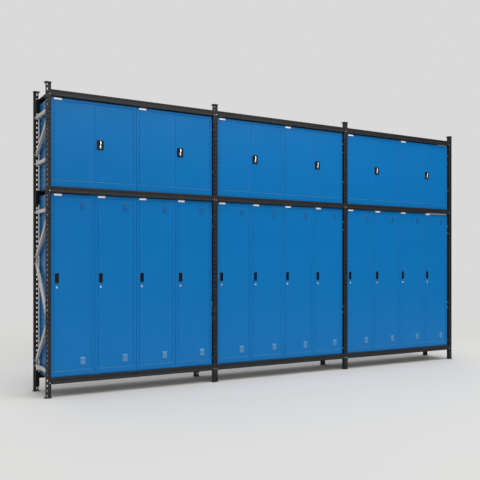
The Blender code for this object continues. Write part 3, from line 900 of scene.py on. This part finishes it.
# %% Case of a unit
def draw_case(shape, unit, hinge_sides):
    """Sides, header, rail, roof, floor and back of a unit; x is centred, the front is at y 0."""
    half = unit["width"] / 2
    opening = half - STILE
    depth = unit["depth"]
    height = unit["height"]
    mid = SHEET / 2
    for hand in (-1, 1):
        outer = hand * (half - mid)
        jamb = hand * (opening + mid)
        side = [(outer, depth - mid), (outer, mid), (jamb, mid), (jamb, RECESS),
                (hand * (opening - STOP), RECESS)]
        ribbon(shape, rounded_path(side, FOLD_RADIUS), 0, height, "xyz")
    inner = opening + SHEET
    door_low = unit["rail"]
    door_high = height - unit["header"]
    head = [(RECESS, door_high - STOP), (RECESS, door_high + mid), (mid, door_high + mid),
            (mid, height - 0.0019), (0.030, height - 0.0019)]
    foot = [(RECESS, door_low + STOP), (RECESS, door_low - mid), (mid, door_low - mid),
            (mid, 0.0019), (0.030, 0.0019)]
    for path in (head, foot):
        ribbon(shape, rounded_path(path, FOLD_RADIUS), -inner, inner, "yzx")
    for level in (mid, height - mid):
        ribbon(shape, [(SHEET, level), (depth - SHEET, level)], -half + SHEET, half - SHEET, "yzx")
    back = depth - mid
    back_steps = [(2 * SHEET, 0.002, back), (0.05, 0.012, back), (0.062, 0.012, depth - 0.0045)]
    loft(shape, [ring(rounded_rect(unit["width"] - trim, height - trim, radius), "xzy", level,
                      (0, height / 2)) for trim, radius, level in back_steps], last_cap=True)
    for hand in hinge_sides:
        draw_knuckles(shape, hand * (opening - DOOR_GAP / 2), door_low, door_high, False)


# %% Shelf
def draw_shelf(shape, unit, level):
    """A shelf with a folded front edge."""
    inner = unit["width"] / 2 - SHEET
    front = 0.030
    path = [(unit["depth"] - 0.006, level), (front, level), (front, level - 0.020),
            (front + 0.010, level - 0.020)]
    ribbon(shape, rounded_path(path, 0.002), -inner, inner, "yzx")


# %% Locker cases
HAT_SHELF_DROP = 0.300
shape = bmesh.new()
draw_case(shape, locker, (1,))
draw_shelf(shape, locker, locker["height"] - HAT_SHELF_DROP - SHEET / 2)
locker_case = finish_mesh("locker_case", shape, blue)
LOCKERS = [f"{number:02d}" for number in range(1, 13)]


def front_place(node):
    """The bottom front middle of a body, where its case is drawn from."""
    low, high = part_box(node)
    return ((low.x + high.x) / 2, low.y, low.z)


for number in LOCKERS:
    add_piece(f"locker_case_{number}", locker_case, RACK, front_place(f"locker_body_{number}"),
              wall=SHEET, stands_for=f"locker_body_{number}")

# %% [markdown]
# ## Locker door
#
# A locker door is a pan: a flat skin whose four edges are folded back 20 mm and then in. It
# has a set of louvres near its top and another near its bottom, for air, and a shallow line
# is rolled beside each upright edge. The skin is a grid of rectangles with its own lines
# where a groove, a hole or a vent begins. The louvres are lanced: a slit is cut and the
# metal above it pushed out, so each slat is joined at its top and its ends and open at its
# bottom. A small patch of curved grid makes exactly that.


# %% Door pan
LINE_HALF = 0.003
LINE_DEPTH = 0.0022


def draw_door_pan(shape, left, right, height, grooves, openings):
    """A folded door skin from left to right; openings are rectangles left, right, bottom, top."""
    xs = {left, right}
    zs = {0.0, height}
    for groove in grooves:
        xs.update((groove - LINE_HALF, groove, groove + LINE_HALF))
    for x0, x1, z0, z1 in openings:
        xs.update((x0, x1))
        zs.update((z0, z1))
    xs = sorted(xs)
    zs = sorted(zs)
    mid = SHEET / 2
    dips = {groove: mid + LINE_DEPTH for groove in grooves}
    grid = [[shape.verts.new((x, dips.get(x, mid), z)) for z in zs] for x in xs]
    for column in range(len(xs) - 1):
        for row in range(len(zs) - 1):
            x = (xs[column] + xs[column + 1]) / 2
            z = (zs[row] + zs[row + 1]) / 2
            if any(x0 < x < x1 and z0 < z < z1 for x0, x1, z0, z1 in openings):
                continue
            shape.faces.new((grid[column][row], grid[column + 1][row],
                             grid[column + 1][row + 1], grid[column][row + 1]))
    edge = [(x, 0.0) for x in xs] + [(right, z) for z in zs[1:]]
    edge += [(x, height) for x in xs[-2::-1]] + [(left, z) for z in zs[-2:0:-1]]
    lip = 0.014
    inset = [(min(max(x, left + lip), right - lip), min(max(z, lip), height - lip)) for x, z in edge]
    rear = DOOR_DEPTH - mid
    start = [Vector((x, dips.get(x, mid) if z in (0.0, height) else mid, z)) for x, z in edge]
    loft(shape, [start, ring(edge, "xzy", rear), ring(inset, "xzy", rear)])


# %% Louvres
def draw_louvres(shape, left, right, bottom, top, slats):
    """Slats that fill a vent: joined at the top and the ends, open below."""
    clear = 0.0001             # a hair of space, so that the large skin keeps its flat shading
    left += clear
    right -= clear
    bottom += clear
    top -= clear
    pitch = (top - bottom) / slats
    across = 10
    down = 5
    ease = 0.006
    for slat in range(slats):
        rows = []
        for j in range(down + 1):
            share = j / down
            rows.append([])
            for i in range(across + 1):
                x = left + (right - left) * i / across
                end = min(1.0, min(x - left, right - x) / ease)
                bulge = 0.0078 * share * math.sin(math.pi / 2 * end)
                z = top - slat * pitch - share * pitch
                rows[-1].append(shape.verts.new((x, SHEET / 2 - bulge, z)))
        for upper, lower in zip(rows, rows[1:]):
            for i in range(across):
                shape.faces.new((upper[i], upper[i + 1], lower[i + 1], lower[i]))


# %% Places on the locker door
hinges = {joint["child"]: Vector(joint["pos_m"]) for joint in frame["joints"]}
door_low, door_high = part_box("locker_door_01")
DOOR_WIDTH = door_high.x - door_low.x
DOOR_HEIGHT = door_high.z - door_low.z
DOOR_RIGHT = -DOOR_GAP / 2
DOOR_LEFT = DOOR_RIGHT - DOOR_WIDTH
PULL_X = DOOR_LEFT + 0.029
PULL_Z = 1.192 - door_low.z        # each height above the floor, less that of the door's foot
LOCK_Z = 1.099 - door_low.z
VENT = (DOOR_RIGHT - 0.125, DOOR_RIGHT - 0.065)
LOW_VENT = (0.310 - door_low.z, 0.384 - door_low.z)
HIGH_VENT = (1.902 - door_low.z, 1.976 - door_low.z)
pull_hole = (PULL_X - 0.016, PULL_X + 0.016, PULL_Z - 0.046, PULL_Z + 0.046)
lock_hole = (PULL_X - 0.008, PULL_X + 0.008, LOCK_Z - 0.008, LOCK_Z + 0.008)

# %% Locker door
shape = bmesh.new()
draw_door_pan(shape, DOOR_LEFT, DOOR_RIGHT, DOOR_HEIGHT, (DOOR_LEFT + 0.044, DOOR_RIGHT - 0.014),
              [VENT + LOW_VENT, VENT + HIGH_VENT, pull_hole, lock_hole])
draw_louvres(shape, *VENT, *LOW_VENT, 6)
draw_louvres(shape, *VENT, *HIGH_VENT, 6)
draw_knuckles(shape, 0, -DOOR_GAP, DOOR_HEIGHT + DOOR_GAP, True)
middle = (DOOR_LEFT + DOOR_RIGHT) / 2
hat = [(middle - 0.045, 0.0018), (middle - 0.030, 0.0018), (middle - 0.026, 0.016),
       (middle + 0.026, 0.016), (middle + 0.030, 0.0018), (middle + 0.045, 0.0018)]
ribbon(shape, hat, 0.10, DOOR_HEIGHT - 0.16, "xyz")
locker_door = finish_mesh("locker_door", shape, blue)
print("door:", round(DOOR_WIDTH, 4), "by", round(DOOR_HEIGHT, 4))

# %% [markdown]
# The finger pull is a moulded cup: a bezel 2 mm proud, a pocket 13 mm deep and a thumb ledge.
# The cam lock below is turned: a collar, a face and a keyway, with a steel cam behind.

# %% Finger pull
shape = bmesh.new()
pull_steps = [(0.040, 0.100, 0.006, 0.0), (0.040, 0.100, 0.006, -0.0010), (0.038, 0.098, 0.005, -0.0020),
              (0.033, 0.093, 0.004, -0.0020), (0.031, 0.091, 0.004, -0.0008), (0.028, 0.086, 0.005, 0.0120),
              (0.024, 0.080, 0.005, 0.0130)]
loft(shape, [ring(rounded_rect(w, h, r), "xzy", level, (PULL_X, PULL_Z))
             for w, h, r, level in pull_steps], False, True)
ledge = [(0.0006, 0.004), (-0.0016, 0.006), (-0.0016, 0.016), (0.0040, 0.020), (0.0060, 0.016)]
ribbon(shape, [(y, z + PULL_Z) for y, z in ledge], PULL_X - 0.0145, PULL_X + 0.0145, "yzx")
pull_mesh = finish_mesh("finger_pull", shape, abs_black)
print("finger pull pocket depth:", pull_steps[-1][-1])

# %% Cam lock
shape = bmesh.new()
turned(shape, [(0.0110, 0.0), (0.0110, -0.0020), (0.0098, -0.0036), (0.0080, -0.0040), (0.0072, -0.0034),
               (0.0066, -0.0034), (0.0062, -0.0038), (0.0010, -0.0038)], "xzy", (PULL_X, LOCK_Z))
loft(shape, [ring(rounded_rect(0.0016, 0.0070, 0.0005), "xzy", level, (PULL_X, LOCK_Z))
             for level in (-0.0036, -0.00395)], False, True, 1)
turned(shape, [(0.0078, 0.0010), (0.0078, 0.0165), (0.0060, 0.0170)], "xzy", (PULL_X, LOCK_Z), 20, 2)
cam = rounded_rect(0.014, 0.042, 0.005)
loft(shape, [ring(cam, "xzy", level, (PULL_X, LOCK_Z - 0.014)) for level in (0.0165, 0.0185)],
     True, True, 2)
lock_mesh = finish_mesh("cam_lock", shape, chrome, abs_black, zinc)

# %% Place the locker doors
for number in LOCKERS:
    node = f"locker_door_{number}"
    hinge = hinges[node]
    place = (hinge.x, hinge.y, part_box(node)[0].z)
    add_piece(f"locker_door_pan_{number}", locker_door, node, place, wall=SHEET, bend=FOLD_RADIUS,
              even=False, stands_for=node)
    add_piece(f"finger_pull_{number}", pull_mesh, node, place)
    add_piece(f"cam_lock_{number}", lock_mesh, node, place)
print("locker doors:", len(LOCKERS))

# %% [markdown]
# ## Cupboards
#
# A cupboard is a wider case with two doors that meet in the middle. The left door has a stiff
# band near its meeting edge, with a rolled line on both sides of it. The right door has one
# line, near its hinge. Inside is one shelf.

# %% Cupboard case
CUPBOARDS = [str(number) for number in range(1, 7)]
shape = bmesh.new()
draw_case(shape, cupboard, (-1, 1))
draw_shelf(shape, cupboard, cupboard["height"] * 0.5)
cupboard_case = finish_mesh("cupboard_case", shape, blue)

# %% Cupboard doors
low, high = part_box("cupboard_door_left_1")
LEAF_WIDTH = high.x - low.x
LEAF_HEIGHT = high.z - low.z
CUPBOARD_DOOR_FLOOR = low.z
PLATE_X = DOOR_RIGHT - LEAF_WIDTH + 0.055
PLATE_Z = 2.567 - CUPBOARD_DOOR_FLOOR
SPINDLE_Z = hinges["cupboard_handle_1"].z - CUPBOARD_DOOR_FLOOR
leaf_meshes = {}
for side, hand in (("left", -1), ("right", 1)):
    edges = sorted((hand * DOOR_RIGHT, hand * (DOOR_RIGHT - LEAF_WIDTH)))
    shape = bmesh.new()
    lines = [edges[1] - 0.022, edges[1] - 0.052]
    holes = []
    if side == "right":
        lines = [edges[1] - 0.032]
        holes = [(PLATE_X - 0.012, PLATE_X + 0.012, SPINDLE_Z - 0.012, SPINDLE_Z + 0.012)]
    draw_door_pan(shape, edges[0], edges[1], LEAF_HEIGHT, lines, holes)
    draw_knuckles(shape, 0, -DOOR_GAP, LEAF_HEIGHT + DOOR_GAP, True)
    leaf_meshes[side] = finish_mesh(f"cupboard_leaf_{side}", shape, blue)
print("cupboard door:", round(LEAF_WIDTH, 4), "by", round(LEAF_HEIGHT, 4))

# %% Place the cupboards
for number in CUPBOARDS:
    add_piece(f"cupboard_case_{number}", cupboard_case, RACK, front_place(f"cupboard_body_{number}"),
              wall=SHEET, stands_for=f"cupboard_body_{number}")
    for side in ("left", "right"):
        node = f"cupboard_door_{side}_{number}"
        place = (hinges[node].x, hinges[node].y, CUPBOARD_DOOR_FLOOR)
        add_piece(f"cupboard_leaf_{side}_{number}", leaf_meshes[side], node, place, wall=SHEET,
                  bend=FOLD_RADIUS, stands_for=node)

# %% [markdown]
# ## Cupboard handle
#
# A moulded black plate frames a cast chrome lever. The plate is a loft of rounded rectangles
# with a shallow dish in it. The lever grows out of a round boss on the spindle, narrows, and
# swings in a slow S up to a wider tip. It is a loft as well: oval rings along a curved
# centre line, with width and depth that change along it.

# %% Handle plate
shape = bmesh.new()
plate_steps = [(0.075, 0.101, 0.009, 0.0), (0.075, 0.101, 0.009, -0.0022), (0.071, 0.097, 0.008, -0.0040),
               (0.061, 0.087, 0.007, -0.0040), (0.057, 0.083, 0.006, -0.0012)]
loft(shape, [ring(rounded_rect(w, h, r), "xzy", level, (PLATE_X, PLATE_Z))
             for w, h, r, level in plate_steps], True, True)
turned(shape, [(0.015, -0.0012), (0.015, -0.0034), (0.0135, -0.0040)], "xzy", (PLATE_X, SPINDLE_Z))

# %% Lock rods behind the handle
for direction, reach in ((1, LEAF_HEIGHT - 0.016), (-1, 0.016)):
    near = SPINDLE_Z + direction * 0.030
    low_z, high_z = sorted((near, reach))
    bar = (PLATE_X, (low_z + high_z) / 2)
    loft(shape, [ring(rounded_rect(0.012, high_z - low_z, 0.002), "xzy", level, bar)
                 for level in (0.0125, 0.0155)], True, True, 1)
turned(shape, [(0.006, 0.0015), (0.006, 0.0120), (0.017, 0.0122), (0.017, 0.0150)], "xzy",
       (PLATE_X, SPINDLE_Z), 24, 1)
plate_mesh = finish_mesh("handle_plate", shape, abs_black, zinc)

# %% Handle lever
LEVER_START = -0.0045      # in front of the door's face
shape = bmesh.new()
turned(shape, [(0.0125, LEVER_START), (0.0125, -0.0085), (0.0115, -0.0125), (0.0090, -0.0150),
               (0.0055, -0.0164), (0.0020, -0.0168)], "xzy", (PLATE_X, SPINDLE_Z), 32)
rings = []
steps = 24
for step in range(steps + 1):
    share = step / steps
    sway = -0.0050 * math.sin(2 * math.pi * share ** 0.9) - 0.0010
    half_width = 0.0068 - 0.0018 * math.sin(math.pi * share) + 0.0016 * share
    half_width *= min(1.0, 3.2 * (1 - share) + 0.25)
    half_depth = 0.0044 * min(1.0, 3.0 * (1 - share) + 0.3)
    height = SPINDLE_Z - 0.016 + 0.0775 * share
    stand = -0.0125 - 0.0010 * math.sin(math.pi * share)
    oval = [(half_width * u, half_depth * v) for u, v in circle(1, 20)]
    rings.append([Vector((PLATE_X + sway + u, stand + v, height)) for u, v in oval])
loft(shape, rings, True, True)
lever_mesh = finish_mesh("handle_lever", shape, chrome)

# %% Place the handles
for number in CUPBOARDS:
    node = f"cupboard_door_right_{number}"
    place = (hinges[node].x, hinges[node].y, CUPBOARD_DOOR_FLOOR)
    add_piece(f"handle_plate_{number}", plate_mesh, node, place)
    add_piece(f"handle_lever_{number}", lever_mesh, f"cupboard_handle_{number}", place,
              stands_for=f"cupboard_handle_{number}")
print("handles:", len(CUPBOARDS))

# %% [markdown]
# ## Fittings inside and labels
#
# Each locker has a zinc-plated coat rail and two hooks, and rubber buffers that the door
# closes on. Each unit has a blank label at the left end of its header. These small parts are
# many and never move, so each kind is one piece.


# %% Round rod
def draw_rod(shape, path, radius, sides=12):
    """A round rod along a path."""
    rings = []
    for index, place in enumerate(path):
        along = (path[min(index + 1, len(path) - 1)] - path[max(index - 1, 0)]).normalized()
        turn = along.to_track_quat("Z", "Y")
        rings.append([place + turn @ Vector((u, v, 0)) for u, v in circle(radius, sides)])
    loft(shape, rings, True, True)


# %% Rails, hooks and buffers
# distance from the locker's side and drop below the hat shelf, along a hook
HOOK_STEPS = ((0.0035, 0.060), (0.0035, 0.115), (0.010, 0.126), (0.022, 0.124), (0.030, 0.108))
HOOK_BEHIND_FRONT = 0.110
fittings = bmesh.new()
buffers = bmesh.new()
half = locker["width"] / 2 - SHEET
for number in LOCKERS:
    x, y, z = front_place(f"locker_body_{number}")
    shelf = z + locker["height"] - HAT_SHELF_DROP
    rail_y = y + locker["depth"] * 0.52
    rail = [Vector((x + end * (half - 0.0008), rail_y, shelf - 0.050)) for end in (-1, 1)]
    draw_rod(fittings, rail, 0.0090, 20)
    for end in (-1, 1):
        hook = [Vector((x + end * (half - inwards), y + HOOK_BEHIND_FRONT, shelf - drop))
                for inwards, drop in HOOK_STEPS]
        draw_rod(fittings, hook, 0.0025, 10)
    left_x = x - half + STILE - 0.0005
    for share in (0.06, 0.94):
        buffer_z = z + locker["rail"] + share * DOOR_HEIGHT
        turned(buffers, [(0.0035, y + RECESS - 0.0007), (0.0030, y + RECESS - 0.0020)], "xzy",
               (left_x + 0.0045, buffer_z), 16)
add_piece("coat_rails_and_hooks", finish_mesh("coat_rails_and_hooks", fittings, zinc), RACK)
add_piece("door_buffers", finish_mesh("door_buffers", buffers, rubber), RACK)

# %% Labels
LABEL_WIDTH = 0.080
LABEL_HEIGHT = 0.020
LABEL_STEPS = ((0, 0), (0, 0.0006), (0.0008, 0.0010))        # trim of the edge, distance in front
LOCKER_LABELS_AT = 2.032        # height above the floor
CUPBOARD_LABELS_AT = 2.997
shape = bmesh.new()
units = [(f"locker_body_{number}", LOCKER_LABELS_AT) for number in LOCKERS]
units += [(f"cupboard_body_{number}", CUPBOARD_LABELS_AT) for number in CUPBOARDS]
for node, height in units:
    low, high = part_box(node)
    centre = (low.x + STILE + LABEL_WIDTH / 2, height)
    rings = [ring(rounded_rect(LABEL_WIDTH - trim, LABEL_HEIGHT - trim, 0.002), "xzy",
                  low.y - proud, centre) for trim, proud in LABEL_STEPS]
    loft(shape, rings, True, True)
add_piece("labels", finish_mesh("labels", shape, card), RACK)
print("labels:", len(units))

# %% Strip of film
FILM_AT = 2.040
FILM_HEIGHT = 0.007
low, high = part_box("locker_body_12")
film_left = low.x + STILE + LABEL_WIDTH
film_right = high.x - STILE
shape = bmesh.new()
centre = ((film_left + film_right) / 2, FILM_AT)
loft(shape, [ring(rounded_rect(film_right - film_left, FILM_HEIGHT, 0.001), "xzy", low.y - proud, centre)
             for proud in (0, 0.0003)], True, True)
add_piece("protective_film", finish_mesh("protective_film", shape, film), RACK)
